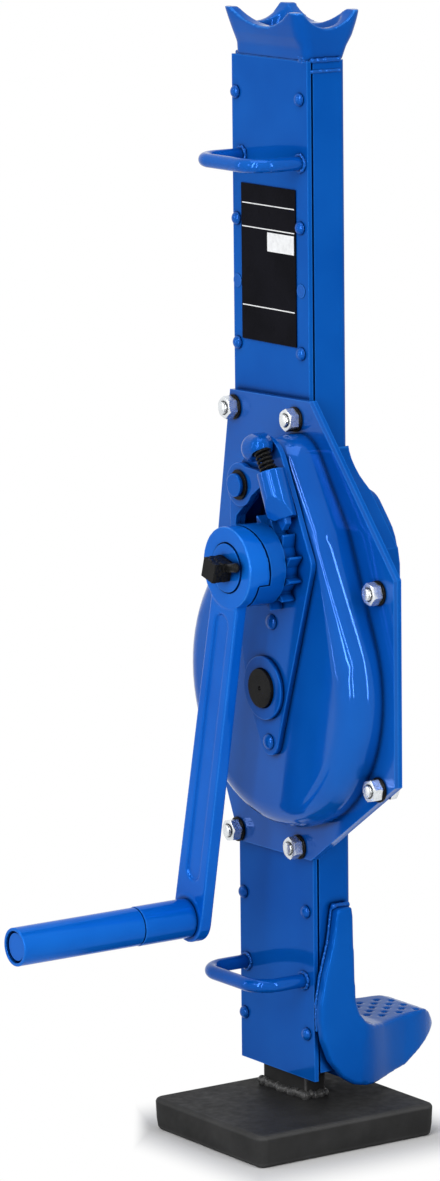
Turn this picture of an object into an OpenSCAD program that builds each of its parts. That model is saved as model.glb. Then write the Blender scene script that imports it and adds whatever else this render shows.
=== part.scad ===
// Rack-and-pinion steel jack: the housing climbs a toothed bar that stands on a base plate.
// Origin: centre of the base plate's underside. +X towards the gear case, -Y towards the crank, +Z up.

/* [Base] */
// Width of the base plate, along X
base_w = 124; // [116:1:140]
// Depth of the base plate, along Y
base_d = 139; // [130:1:150]
// Thickness of the base plate
base_t = 21.6; // [16:0.2:24]

/* [Column] */
// Left side of the column
column_x0 = -56; // [-56.5:0.5:-55.5]
// Right side of the column
column_x1 = 27; // [26.5:0.5:27.5]
// Back of the column
column_y1 = 28; // [27.5:0.5:28.5]
// Height of the column's lower edge above the floor
column_z0 = 45; // [42:1:48]
// Height of the column's upper edge, under the crown
column_z1 = 698; // [690:1:704]
// Wall of the folded channel
channel_t = 4; // [3.5:0.5:4]

/* [Lifting gear] */
// Module of the rack and of its pinion
rack_module = 6; // [6:1:6]
// Module of the wheel and of the crank's pinion
wheel_module = 4; // [4:1:4]
// Teeth on the wheel
wheel_teeth = 36; // [36:1:36]
// Pressure angle of both gear pairs, in degrees
pressure_angle = 25; // [25:1:25]
// Play between the teeth of a pair
backlash = 0.5; // [0.3:0.05:0.8]

/* [Crank] */
// Distance from the crank's shaft to its handle
crank_radius = 240; // [220:1:250]
// Lean of the crank from straight down, in degrees
crank_lean = 12; // [0:1:20]
// Length of the turning sleeve on the handle
sleeve_length = 91; // [80:1:100]

/* [Hidden] */

$fn = 64;
eps = 0.01;
fit = 0.05;                 // radial clearance of a running fit
paint = "#0b55b5";
black = "#26282a";
zinc = "#c9ccd0";

// Layers from the front plate forwards, along Y
front_y = -2;               // face of the front plate
front_t = 3;
case_flange_y = -5;         // front of the gear case's flange
cover_flange_y = -8;        // front of the cover's flange
dome_y = -33;               // front of the dome
dome_wall = 3;
bearing_y = -37;            // front of the bearing plate
rear_plate_y = 34;          // back of the rear bearing plate
case_t = 4;

// Gear train, in the X-Z plane
rack_teeth_pinion = 5;
crank_teeth = 6;
rack_pinion_r = rack_module * rack_teeth_pinion / 2;
wheel_r = wheel_module * wheel_teeth / 2;
crank_pinion_r = wheel_module * crank_teeth / 2;
wheel_axis = [26, 303.5];
crank_axis = wheel_axis + [13, sqrt((wheel_r + crank_pinion_r) ^ 2 - 13 ^ 2)];
mesh_angle = atan2(crank_axis.y - wheel_axis.y, crank_axis.x - wheel_axis.x);
rack_shift = 0.5;           // profile shift of the rack's pinion
wheel_shift = 0.45;         // profile shift of the crank's pinion, taken off the wheel
rack_pinion_tip = 22.5;
crank_pinion_tip = 17;
wheel_tip = wheel_r + wheel_module * (1 - wheel_shift);
tooth_gap = 0.9;            // room between a tip and the root it runs over

// Rack, from its gear's place
rack_pitch = PI * rack_module;
rack_datum_x = wheel_axis.x - rack_pinion_r - rack_shift * rack_module;
rack_root_x = wheel_axis.x - rack_pinion_tip - tooth_gap;
rack_tip_x = rack_datum_x + 0.9 * rack_module;
rack_x0 = -45;
rack_y0 = 7.6;
rack_y1 = 23.6;
rack_top = 684;
rack_neck_top = 46;

// Guides
slide_gap = 0.3;
upper_guide = [500, 690];
lower_guide = [58, 165];
rivet_x = [-50, 19];
rivet_head_x = [-51.5, 19];
rivet_z = [674, 593, 513, 151, 70];
plug_z = 553;
rivet_r = 2;

// Cover outline and fasteners
flange_outline = [[-53, 483], [35, 485], [124.5, 383], [124.5, 251], [33, 188], [-47.5, 187],
                  [-62, 220], [-78, 268], [-78, 340], [-68, 391]];
case_outline = [[24, 453], [27.1, 452.5], [28.1, 449], [30.5, 444.4], [34.5, 439.4], [39, 435], [44.5, 431],
                [50.5, 427], [80, 394], [82, 384], [82, 262], [60, 226], [24, 205]];
through_bolts = [[-48.5, 472], [20, 472], [20, 194.8], [-48.5, 194.2]];
edge_bolts = [[108.5, 373], [108, 247.5]];
bolt_r = 4;
nut_flats = 13;
head_t = 5.3;

// Dome: three round lobes, each [x, z, radius at the flange, radius lost over the shoulder]
dome_lobes = [[19, 304, 94, 18], [39, 386, 44, 8], [26, 438, 26, 12]];
dome_wall_height = 7;

// Ratchet and pawl
ratchet_teeth = 12;
ratchet_tip = 30;
ratchet_root = 24;
ratchet_y = [-47, -37.4];
ratchet_face = 45;        // angle of one locking face, clockwise from straight up
pawl_axis = [5.6, 431.7];
pawl_y = [-42, -37.5];
plunger_foot = [60.1, 417.6];
plunger_length = 31;
plunger_r = 9.2;
plunger_lean = 23.8;        // degrees from straight up, towards the left
plunger_y = -46.6;
spring_foot = [44.6, 445.6];
spring_length = 17.8;
spring_lean = 32;

// Crank hub
hub_r = 26;
hub_y = -75;
brake_y = -47.8;
cam_mid_y = -62.6;
cam_rise = 4;
cam_turn = -22;
shaft_end_y = -89;
square_w = 12.5;
end_pin_r = 3;
arm_back_y = -66;
handle_at = crank_axis + crank_radius * [-sin(crank_lean), -cos(crank_lean)];
collar_end_y = hub_y - 39;
sleeve_y = collar_end_y - slide_gap;
handle_end_y = sleeve_y - sleeve_length;

// Toe
column_mid_x = (column_x0 + column_x1) / 2;
toe_half = 50.5;
toe_top = 154;

// ---------------------------------------------------------------- helpers

// Extrudes an X-Z outline along Y from y0 to y1
module along_y(y0, y1) {
    translate([0, y1, 0]) rotate([90, 0, 0]) linear_extrude(y1 - y0) children();
}

// Extrudes a Y-Z outline along X from x0 to x1
module along_x(x0, x1) {
    translate([x0, 0, 0]) rotate([90, 0, 90]) linear_extrude(x1 - x0) children();
}

// Round bar along Y at an X-Z place
module bar_y(at, r, y0, y1) {
    translate([at.x, y1, at.y]) rotate([90, 0, 0]) cylinder(r = r, h = y1 - y0);
}

// Hexagonal bar along Y
module hex_y(at, flats, y0, y1) {
    translate([at.x, y1, at.y]) rotate([90, 0, 0]) cylinder(d = flats / cos(30), h = y1 - y0, $fn = 6);
}

// Half of a tooth's angle at radius r, for an involute on base radius rb
function involute(a) = tan(a) * 180 / PI - a;
function half_tooth(r, rp, thickness) =
    let (rb = rp * cos(pressure_angle))
    thickness / (2 * rp) * 180 / PI + involute(pressure_angle) - involute(acos(min(1, rb / max(r, rb))));

// Outline of a spur gear; the first tooth points along angle `first`
function gear_outline(m, teeth, shift, root, tip, first) =
    let (rp = m * teeth / 2, rb = rp * cos(pressure_angle), steps = 5,
         thickness = m * (PI / 2 + 2 * shift * tan(pressure_angle)) - backlash / 2,
         low = max(rb, root),
         radii = concat(root < rb ? [root] : [], [for (i = [0:steps]) low + (tip - low) * i / steps]))
    [for (t = [0:teeth - 1], side = [-1, 1], i = [0:len(radii) - 1])
        let (r = side < 0 ? radii[i] : radii[len(radii) - 1 - i],
             a = first + 360 * t / teeth + side * half_tooth(r, rp, thickness))
        r * [cos(a), sin(a)]];

module gear_y(at, m, teeth, shift, root, tip, first, y0, y1) {
    translate([at.x, 0, at.y]) along_y(y0, y1) polygon(gear_outline(m, teeth, shift, root, tip, first));
}

// ---------------------------------------------------------------- foot

module base_plate() color(black) {
    corner = 6.5;
    levels = [[0, 3], [2, 1.4], [8, 0.5], [base_t - 2.6, 0], [base_t - 1, 0.7], [base_t - eps, 2.4]];
    hull() for (level = levels, sx = [-1, 1], sy = [-1, 1])
        translate([sx * (base_w / 2 - corner), sy * (base_d / 2 - corner), level[0]])
            cylinder(r = corner - level[1], h = eps, $fn = 32);
}

// Rough bead around the foot of the bar
module foot_weld() color(black) {
    bead = 4.5;
    x1 = rack_root_x;
    path = [[rack_x0, rack_y0], [x1, rack_y0], [x1, rack_y1], [rack_x0, rack_y1]];
    difference() {
        union() {
            for (i = [0:3]) {
                a = path[i];
                b = path[(i + 1) % 4];
                beads = ceil(norm(b - a) / 5);
                for (k = [0:beads - 1]) translate(concat(a + (b - a) * k / beads, base_t - 0.8))
                    sphere(r = bead + 0.5 * sin(137 * k + 60 * i));
            }
        }
        translate([-100, -100, base_t - 20]) cube([200, 200, 20]);
        translate([rack_x0, rack_y0, base_t - 1]) cube([x1 - rack_x0, rack_y1 - rack_y0, 20]);
    }
}

// Toothed bar, its teeth towards the gear case
module rack_bar() color(black) {
    first = ceil((rack_neck_top + 8 - wheel_axis.y) / rack_pitch);
    last = floor((rack_top - 6 - wheel_axis.y) / rack_pitch);
    rise = rack_tip_x - rack_datum_x;
    depth = rack_datum_x - rack_root_x;
    half = rack_pitch / 4 - backlash / 4;
    slope = tan(pressure_angle);
    along_y(rack_y0, rack_y1) union() {
        translate([rack_x0, base_t]) square([rack_root_x - rack_x0, rack_top - base_t]);
        for (k = [first:last]) translate([rack_datum_x, wheel_axis.y + k * rack_pitch])
            polygon([[-depth - eps, -half - depth * slope], [rise, -half + rise * slope],
                     [rise, half - rise * slope], [-depth - eps, half + depth * slope]]);
    }
}

// ---------------------------------------------------------------- column

module channel_outline(inset) {
    r = max(0.5, 4.5 - inset);
    x0 = column_x0 + inset;
    x1 = column_x1 - inset;
    y0 = front_y + front_t;
    y1 = column_y1 - inset;
    translate([x0, y0]) square([x1 - x0, y1 - r - y0]);
    translate([x0 + r, y1 - 2 * r]) square([x1 - x0 - 2 * r, 2 * r]);
    for (x = [x0 + r, x1 - r]) translate([x, y1 - r]) circle(r);
}

module column_channel() color(paint) {
    groove = 1.5;
    difference() {
        translate([0, 0, column_z0]) linear_extrude(column_z1 - column_z0) difference() {
            channel_outline(0);
            channel_outline(channel_t);
            // grooves behind the front plate's edges
            for (x = [column_x0 - 1, column_x1 - groove])
                translate([x, front_y + front_t - 1]) square([groove + 1, 1 + groove]);
        }
        // window for the two gears, and the seats of the rear bushes
        translate([column_x1 - channel_t - 3, front_y, wheel_axis.y - 27])
            cube([channel_t + 4, column_y1 - channel_t - front_y, 54]);
        holes([wheel_axis, crank_axis], 15, column_y1 - channel_t, column_y1 + 1);
        // pockets for the heads of the through bolts
        for (b = through_bolts)
            hex_y(b, nut_flats + 0.7, front_y + front_t - 1, front_y + front_t + head_t + 0.4);
    }
}

// Full-width plate that closes the channel
module front_plate() color(paint) {
    difference() {
        translate([column_x0, front_y, column_z0 - 5.5])
            cube([column_x1 - column_x0, front_t, column_z1 - column_z0 + 5.5]);
        holes(through_bolts, bolt_r, front_y - 1, front_y + front_t + 1);
        holes([wheel_axis], 25, front_y - 1, front_y + front_t + 1);
        holes(rivet_places(concat(rivet_z, plug_z)), rivet_r, front_y - 1, front_y + front_t + 1);
    }
}

function rivet_places(levels) = [for (x = rivet_x, z = levels) [x, z]];

// Bars that the rack slides on; a lip holds its front face
module guide(x_outer, x_inner, lip, span) {
    y0 = front_y + front_t;
    difference() {
        translate([0, 0, span[0]]) linear_extrude(span[1] - span[0]) intersection() {
            channel_outline(channel_t);
            union() {
                translate([min(x_outer, x_inner), y0]) square([abs(x_outer - x_inner), column_y1 - y0]);
                translate([min(x_outer, x_inner + lip), y0])
                    square([abs(x_inner + lip - x_outer), rack_y0 - slide_gap - y0]);
            }
        }
        holes(rivet_places(concat(rivet_z, plug_z)), rivet_r, y0 - 1, y0 + 8);
    }
}

module guide_left(span) guide(column_x0 + channel_t, rack_x0 - slide_gap, 9, span);
module guide_right(span) guide(column_x1 - channel_t, rack_tip_x + slide_gap, -14, span);

module guide_upper_left() color(zinc) guide_left(upper_guide);
module guide_upper_right() color(zinc) guide_right(upper_guide);
module guide_lower_left() color(zinc) guide_left(lower_guide);
module guide_lower_right() color(zinc) guide_right(lower_guide);

// Domed rivets that hold the guides
module guide_rivets() color(paint) {
    head_r = 4.4;
    sunk = 0.9;
    for (i = [0, 1], z = rivet_z) {
        bar_y([rivet_x[i], z], rivet_r, front_y - eps, front_y + front_t + 6);
        translate([rivet_head_x[i], front_y, z]) rotate([90, 0, 0]) intersection() {
            translate([0, 0, -sunk]) sphere(r = head_r);
            cylinder(r = head_r, h = head_r);
        }
    }
}

// Rivets ground nearly flush
module guide_plugs() color(paint) {
    for (i = [0, 1]) {
        bar_y([rivet_x[i], plug_z], rivet_r, front_y - eps, front_y + front_t + 6);
        bar_y([rivet_head_x[i], plug_z], 4.4, front_y - 0.5, front_y);
    }
}

// Lofts rounded boxes through levels of [z, x0, x1, y0, y1, corner]
module loft(levels) {
    for (i = [0:len(levels) - 2])
        hull() for (l = [levels[i], levels[i + 1]], x = [l[1] + l[5], l[2] - l[5]],
                    y = [l[3] + l[5], l[4] - l[5]])
            translate([x, y, l[0]]) cylinder(r = l[5], h = eps, $fn = 32);
}

// Four-horned crown that takes the load
module head_crown() color(paint) {
    top = 729;
    valley = 718.5;
    wide_r = 52;            // hollows between the horns, front and back
    narrow_r = 23;          // and at the sides
    difference() {
        loft([[column_z1, -53, 26, -1.4, 27.6, 4], [706, -52.6, 27.2, -3, 31, 6],
              [713, -52.6, 28.4, -7, 35.8, 8], [721, -53, 29, -10, 38.6, 8],
              [top, -53.4, 29.4, -11.8, 39.8, 6]]);
        loft([[706, -44, 19, 5.5, 22.5, 5], [716, -46, 22, 0.5, 27.5, 7],
              [top + 1, -47, 23, -5.5, 33.5, 7]]);
        bar_y([-12, valley + wide_r], wide_r, -60, 80);
        translate([-100, 14, valley + narrow_r]) rotate([0, 90, 0]) cylinder(r = narrow_r, h = 200);
    }
}

module crown_weld() color(paint) {
    difference() {
        for (y = [front_y + 0.4, column_y1 - 0.4])
            translate([column_x0 + 5, y, column_z1]) rotate([0, 90, 0])
                cylinder(r = 1.8, h = column_x1 - column_x0 - 10);
        translate([column_x0, front_y, column_z1 - 10])
            cube([column_x1 - column_x0, column_y1 - front_y, 10]);
        head_crown();
    }
}

// Side view of the toe, as [y, z]
toe_profile = [[11, toe_top], [23.2, toe_top], [25.6, 91.5], [28.5, 82], [35, 75], [44, 71.2], [56, 69],
               [97, 69], [102, 67.4], [107.5, 63.5], [112.5, 54.5], [115.6, 47], [115, 43.6], [112, 41.6],
               [101, 39], [81, 34.7], [60, 32.4], [46.6, 31.9], [35, 32.6], [23.7, 35.1], [15.2, 40.6],
               [5.3, 53], [-0.2, 67], [-2.4, 81.6], [-2, 92.2], [1.6, 110.6], [7.5, 131]];

// Top view of the toe, as [x from the middle, y]
toe_outline = [[50.5, 34], [47.6, 41], [43.2, 49], [38.6, 56.5], [34.8, 64], [31.8, 71.5], [29.2, 79],
               [27.4, 87], [25.4, 94.5], [22.8, 101.5], [19.2, 108], [14.4, 114], [8, 119]];

module toe_plan() {
    left = [for (i = [len(toe_outline) - 1:-1:0]) [-toe_outline[i].x, toe_outline[i].y]];
    offset(r = 9) offset(delta = -9) translate([column_mid_x, 0])
        polygon(concat([[-toe_half, -20], [toe_half, -20]], toe_outline, left));
}

module toe() color(paint) {
    gap = 0.4;
    difference() {
        intersection() {
            along_x(column_x0 - 20, column_x1 + 20) polygon(toe_profile);
            translate([0, 0, 20]) linear_extrude(160) toe_plan();
        }
        translate([column_x0 - gap, -60, 0])
            cube([column_x1 - column_x0 + 2 * gap, column_y1 + 60 + gap, 200]);
        // the left cheek starts behind the front plate
        translate([column_x0 - 30, -60, 0]) cube([30, 60 + 4.5, 200]);
        // grip dimples
        for (row = [0:6], col = [-1:1])
            translate([column_mid_x + col * 14 + (row % 2) * 7, 59.5 + row * 7, 67])
                cylinder(r = 2, h = 8, $fn = 24);
    }
}

// Beads between the toe's upper ends and the column
module toe_weld() color(paint) {
    for (side = [0, 1]) mirror([side, 0, 0]) translate([side ? -column_mid_x * 2 : 0, 0, 0]) difference() {
        translate([column_x1 + 2, 11, toe_top]) rotate([-90, 0, 0]) cylinder(r = 3.6, h = 12);
        translate([column_x1 - 10, 0, toe_top - 10]) cube([10, 40, 20]);
        translate([column_x1 - 1, 0, toe_top - 10]) cube([20, 40, 10]);
    }
}

// Bent round bar welded to the front plate at height z, its left leg at x0
module grip(z, x0) {
    rod = 4.5;
    x1 = x0 + 65;
    front = -37.5;
    bend = 16;
    translate([0, 0, z]) {
        for (x = [x0, x1]) bar_y([x, 0], rod, front + bend, front_y);
        translate([x0 + bend, front, 0]) rotate([0, 90, 0]) cylinder(r = rod, h = x1 - x0 - 2 * bend);
        translate([x0 + bend, front + bend, 0]) rotate([0, 0, 180]) rotate_extrude(angle = 90)
            translate([bend, 0]) circle(rod);
        translate([x1 - bend, front + bend, 0]) rotate([0, 0, 270]) rotate_extrude(angle = 90)
            translate([bend, 0]) circle(rod);
    }
}

module upper_grip() color(paint) grip(634, -46);
module lower_grip() color(paint) grip(105, -49);

module label_plate() color(black) {
    translate([-46, front_y - 0.8, 516.5]) cube([60, 0.8, 100]);
}

// ---------------------------------------------------------------- gear case and cover

module holes(places, r, y0, y1) {
    for (p = places) bar_y(p, r, y0, y1);
}

// Rear half: a flanged box beside the column
module gear_case() color(paint) {
    difference() {
        union() {
            along_y(case_flange_y, front_y) polygon(flange_outline);
            intersection() {
                along_y(front_y - eps, column_y1) polygon(case_outline);
                translate([column_x1, -100, 0]) cube([200, 200, 600]);
            }
        }
        intersection() {
            along_y(front_y, column_y1 - case_t) polygon([for (p = case_outline)
                [p.x - (p.x > 50 ? case_t : 0),
                 p.y + (p.y > 384 ? -1.4 * case_t : p.y < 262 ? 1.2 * case_t : 0)]]);
            translate([column_x1 - 1, -100, 0]) cube([200, 200, 600]);
        }
        holes(concat(through_bolts, edge_bolts), bolt_r, -20, 10);
        holes([wheel_axis], 25, case_flange_y - 1, front_y + 1);
        holes([crank_axis], 16, case_flange_y - 1, front_y + 1);
        holes([wheel_axis, crank_axis], 16, 20, column_y1 + 1);
    }
}

// The dome's shape, made smaller by `shrink` for its hollow; its flat back is at y = back
module dome_solid(shrink, back) {
    steps = 6;
    hull() for (lobe = dome_lobes) {
        depth = cover_flange_y - dome_y - shrink;
        radius = lobe[2] - shrink;
        bar_y([lobe[0], lobe[1]], radius, cover_flange_y - dome_wall_height, back, $fn = 72);
        for (i = [1:steps])
            let (a = 90 * i / steps, rise = dome_wall_height + (depth - dome_wall_height) * sin(a))
            translate([lobe[0], cover_flange_y - rise, lobe[1]]) rotate([-90, 0, 0])
                cylinder(r = radius - lobe[3] * (1 - cos(a)), h = 0.5, $fn = 72);
    }
}

pawl_window = [[-6, 404], [-5, 410], [2, 416], [10, 423], [14, 433], [18, 442], [30, 448], [42, 447],
               [49, 434], [52, 422], [54, 409], [41, 413], [30, 412], [18, 406], [8, 401]];

// Deep-drawn front cover
module gear_cover() color(paint) {
    difference() {
        union() {
            along_y(cover_flange_y, case_flange_y) polygon(flange_outline);
            dome_solid(0, cover_flange_y + 1);
        }
        dome_solid(dome_wall, case_flange_y + 1);
        holes(concat(through_bolts, edge_bolts), bolt_r, -20, 0);
        holes([wheel_axis, crank_axis], 16, -60, dome_y + 10);
        holes(plate_rivets, 3, -60, dome_y + 10);
        along_y(-60, dome_y + 6) polygon(pawl_window);
    }
}

plate_lobes = [[29, 270, 10], [65, 388, 12], [27, 444, 21], [2, 424, 14], [-2, 398, 10], [14, 300, 10]];

// Plate that carries the front bearings, riveted on the dome
module bearing_plate() color(paint) {
    difference() {
        hull() for (l = plate_lobes) translate([l[0], dome_y, l[1]]) rotate([90, 0, 0])
            cylinder(r = l[2], h = dome_y - bearing_y, $fn = 32);
        holes([wheel_axis, crank_axis], 16, -60, 0);
        holes([pawl_axis], 5, -60, 0);
        holes(plate_rivets, 3, -60, 0);
        along_y(-60, 0) polygon(pawl_window);
    }
}

plate_rivets = [[29.5, 269], [33.5, 347]];

module bearing_plate_rivets() color(paint) {
    for (p = plate_rivets) {
        bar_y(p, 3, bearing_y - eps, dome_y + dome_wall);
        translate([p.x, bearing_y, p.y]) rotate([90, 0, 0]) intersection() {
            translate([0, 0, -2.2]) sphere(r = 5.6);
            cylinder(r = 6, h = 6);
        }
    }
}

module rear_bearing_plate() color(paint) {
    difference() {
        union() {
            hull() {
                bar_y(crank_axis, 33, column_y1, rear_plate_y, $fn = 32);
                bar_y(wheel_axis, 24, column_y1, rear_plate_y, $fn = 32);
                bar_y([40, 408], 18, column_y1, rear_plate_y, $fn = 32);
            }
            bar_y(crank_axis, 21, rear_plate_y - eps, rear_plate_y + 5);
            bar_y(wheel_axis, 19, rear_plate_y - eps, rear_plate_y + 5);
        }
        holes([wheel_axis, crank_axis], 15, column_y1 - 1, rear_plate_y + 6);
    }
}

module bush(at, outer, inner, y0, y1) {
    difference() {
        bar_y(at, outer, y0, y1);
        bar_y(at, inner, y0 - 1, y1 + 1);
    }
}

// Front bushes have a collar over the plate
module wheel_bush_front() color(paint) {
    bush(wheel_axis, 16, 12.5 + fit, bearing_y, dome_y + dome_wall);
    bush(wheel_axis, 20.5, 12.5 + fit, bearing_y - 3, bearing_y);
}
module wheel_bush_rear() color(zinc) bush(wheel_axis, 15, 11 + fit, column_y1 - case_t, rear_plate_y + 5);
module crank_bush_front() color(zinc) bush(crank_axis, 16, 12 + fit, bearing_y, dome_y + dome_wall);
module crank_bush_rear() color(zinc) bush(crank_axis, 15, 11 + fit, column_y1 - case_t, rear_plate_y + 5);

// ---------------------------------------------------------------- fasteners

module bolt(at, head_y) {
    bar_y(at, bolt_r, cover_flange_y - 10.5, head_y);
    hex_y(at, nut_flats, head_y, head_y + head_t);
}

module cover_bolts() color(zinc) {
    for (b = through_bolts) bolt(b, front_y + front_t);
    for (b = edge_bolts) bolt(b, front_y);
}

module cover_washers() color(zinc) {
    for (b = concat(through_bolts, edge_bolts)) bush(b, 8, bolt_r, cover_flange_y - 1.4, cover_flange_y);
}

module cover_nuts() color(zinc) {
    for (b = concat(through_bolts, edge_bolts)) difference() {
        intersection() {
            hex_y(b, nut_flats, cover_flange_y - 8.2, cover_flange_y - 1.4);
            translate([b.x, cover_flange_y - 1.4, b.y]) rotate([90, 0, 0])
                cylinder(r1 = 10.5, r2 = 6.6, h = 6.8);
        }
        bar_y(b, bolt_r, -30, 0);
    }
}

// ---------------------------------------------------------------- safety pawl

module pawl_pin() color(paint) {
    bar_y(pawl_axis, 5, -44, dome_y);
    bar_y(pawl_axis, 7.5, -46.6, -43.6);
}

// Spring clip behind the pin's head
module pawl_clip() color(black) {
    difference() {
        bar_y(pawl_axis, 9.6, -43.5, -42.2);
        bar_y(pawl_axis, 5, -60, -40);
        translate([pawl_axis.x - 20, -60, pawl_axis.y - 3]) rotate([0, -35, 0]) cube([20, 20, 6]);
    }
}

// Places its children on an axis that leans to the left from a foot at the plunger's depth
module leaning(foot, lean) {
    translate([foot.x, plunger_y, foot.y]) rotate([0, -lean, 0]) children();
}

// Rounded boss that holds the spring's upper end
module spring_seat() color(paint) {
    boss = [28, -44, 458];
    boss_r = 9.5;
    lip_r = 7.4;
    difference() {
        hull() {
            translate(boss) sphere(r = boss_r, $fn = 40);
            bar_y([boss.x, boss.z], boss_r, -44, bearing_y, $fn = 40);
            leaning(spring_foot, spring_lean) translate([0, 0, spring_length - 0.8])
                sphere(r = lip_r, $fn = 40);
        }
        leaning(spring_foot, spring_lean) translate([0, 0, -5]) cylinder(r = 5.9, h = spring_length + 5);
        leaning(spring_foot, spring_lean) translate([-20, -20, -10]) cube([40, 40, 10 + 13]);
        translate([0, bearing_y, boss.z - 20]) cube([60, 20, 40]);
    }
}

// Coil spring between the seat and the pawl
module pawl_spring() color(black) {
    turns = 4;
    coil_r = 4.5;
    wire_r = 0.85;
    sides = 8;
    per_turn = 20;
    end_gap = 0.3;
    length = spring_length - 2 * (wire_r + end_gap);
    rings = turns * per_turn;
    points = [for (i = [0:rings], s = [0:sides - 1])
        let (a = 360 * i / per_turn, t = 360 * s / sides, r = coil_r + wire_r * cos(t))
        [r * cos(a), r * sin(a), wire_r + end_gap + length * i / rings + wire_r * sin(t)]];
    faces = concat([[for (s = [0:sides - 1]) s]],
        [[for (s = [sides - 1:-1:0]) rings * sides + s]],
        [for (i = [0:rings - 1], s = [0:sides - 1])
            let (n = (s + 1) % sides)
            [i * sides + s, (i + 1) * sides + s, (i + 1) * sides + n, i * sides + n]]);
    leaning(spring_foot, spring_lean) polyhedron(points, faces);
}

// Pawl: an eye on the pin, a round body under the spring and a tongue just clear of the ratchet's tips
module pawl() color(paint) {
    tongue = [[59, 409.4], [63.4, 414.7], [61.5, 425], [50.5, 423], [53.6, 416]];
    difference() {
        union() {
            bar_y(pawl_axis, 14, pawl_y[0], pawl_y[1]);
            along_y(pawl_y[0], pawl_y[1])
                polygon([[8, 444], [24, 443.5], [46, 440], [52, 428], [30, 434], [16, 424]]);
            difference() {
                leaning(plunger_foot, plunger_lean) difference() {
                    cylinder(r = plunger_r, h = plunger_length);
                    // chisel face on the front of the foot
                    rotate([0, 0, 25]) translate([0, -plunger_r, 14]) rotate([28, 0, 0])
                        translate([-20, -20, -40]) cube([40, 20, 40]);
                }
                bar_y(crank_axis, 34, -60, -30);
            }
            along_y(-46.6, -42) polygon(tongue);
        }
        bar_y(pawl_axis, 5 + fit, -60, 0);
    }
}

// ---------------------------------------------------------------- shafts and gears

module wheel_shaft() color(black) {
    difference() {
        union() {
            bar_y(wheel_axis, 12.5, -42, -29.5);
            bar_y(wheel_axis, 13, -29.5, -12);
            bar_y(wheel_axis, 11.2, -12, 24);
            gear_y(wheel_axis, rack_module, rack_teeth_pinion, rack_shift,
                wheel_axis.x - rack_tip_x - tooth_gap, rack_pinion_tip, 0, 3, 23.5);
            bar_y(wheel_axis, 11, 24 - eps, rear_plate_y + 6);
        }
        translate([wheel_axis.x - 3, -28.5, wheel_axis.y + 10]) cube([6, 15, 4]);
        translate([wheel_axis.x, -38.9, wheel_axis.y]) rotate([90, 0, 0])
            cylinder(r1 = 0, r2 = 1.6, h = 3.2);
    }
}

module gear_wheel() color(black) {
    difference() {
        union() {
            gear_y(wheel_axis, wheel_module, wheel_teeth, -wheel_shift,
                norm(crank_axis - wheel_axis) - crank_pinion_tip - tooth_gap, wheel_tip, mesh_angle,
                -26, -14);
            bar_y(wheel_axis, 22, -28.5, -13);
        }
        for (side = [[-27, -24], [-16, -12]]) difference() {
            bar_y(wheel_axis, 58, side[0], side[1]);
            bar_y(wheel_axis, 24, -30, -10);
        }
        bar_y(wheel_axis, 13, -30, -10);
        translate([wheel_axis.x - 3, -30, wheel_axis.y + 10]) cube([6, 20, 5.5]);
    }
}

module wheel_key() color(zinc) {
    translate([wheel_axis.x - 3, -28.5, wheel_axis.y + 10]) cube([6, 15, 5.4]);
}

module crank_shaft() color(black) {
    difference() {
        union() {
            translate([crank_axis.x, 0, crank_axis.y]) rotate([0, 16, 0])
                translate([-square_w / 2, shaft_end_y, -square_w / 2])
                    cube([square_w, hub_y - shaft_end_y, square_w]);
            bar_y(crank_axis, 12, hub_y - eps, -29.5);
            gear_y(crank_axis, wheel_module, crank_teeth, wheel_shift,
                norm(crank_axis - wheel_axis) - wheel_tip - tooth_gap, crank_pinion_tip, mesh_angle + 210,
                -29.5 - eps, -12);
            bar_y(crank_axis, 11, -12 - eps, rear_plate_y + 6);
        }
        along_pin() translate([0, 0, -20]) cylinder(r = end_pin_r, h = 40);
    }
}

// Cross pin through the square, longer on the side of the gear case
module along_pin() {
    translate([crank_axis.x, hub_y - 4, crank_axis.y]) rotate([0, -10, 0]) rotate([0, 90, 0]) children();
}
module end_pin() color(black) {
    tail = square_w / 2 + 1.5;
    along_pin() translate([0, 0, -tail]) cylinder(r = end_pin_r, h = tail + 16.5);
}

// Saw-toothed wheel; the steep faces stop the crank from running back
module ratchet_wheel() color(paint) {
    pitch = 360 / ratchet_teeth;
    along_y(ratchet_y[0], ratchet_y[1]) difference() {
        translate(crank_axis) polygon([for (k = [0:ratchet_teeth - 1],
            p = [[ratchet_root, 0], [ratchet_tip, 0.4], [ratchet_tip, 3], [ratchet_root, pitch * 0.5]])
            let (a = 90 - ratchet_face - pitch * k - p[1]) p[0] * [cos(a), sin(a)]]);
        translate(crank_axis) circle(12);
    }
}

// The ramped face between the crank and the brake disc
module cam_space(gap) {
    translate([crank_axis.x, 0, crank_axis.y]) for (half = [0, 180]) rotate([0, half - cam_turn, 0])
        intersection() {
            translate([-60, -80, -gap / 2]) cube([120, 80, 60]);
            translate([0, cam_mid_y - gap, 0]) rotate([0, 0, atan(cam_rise / hub_r)])
                translate([-80, 0, -60]) cube([160, 80, 120]);
        }
}

module brake_disc() color(paint) {
    difference() {
        intersection() {
            bar_y(crank_axis, hub_r, cam_mid_y - cam_rise - 2, brake_y);
            cam_space(0);
        }
        bar_y(crank_axis, 12, -100, 0);
    }
}

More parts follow.
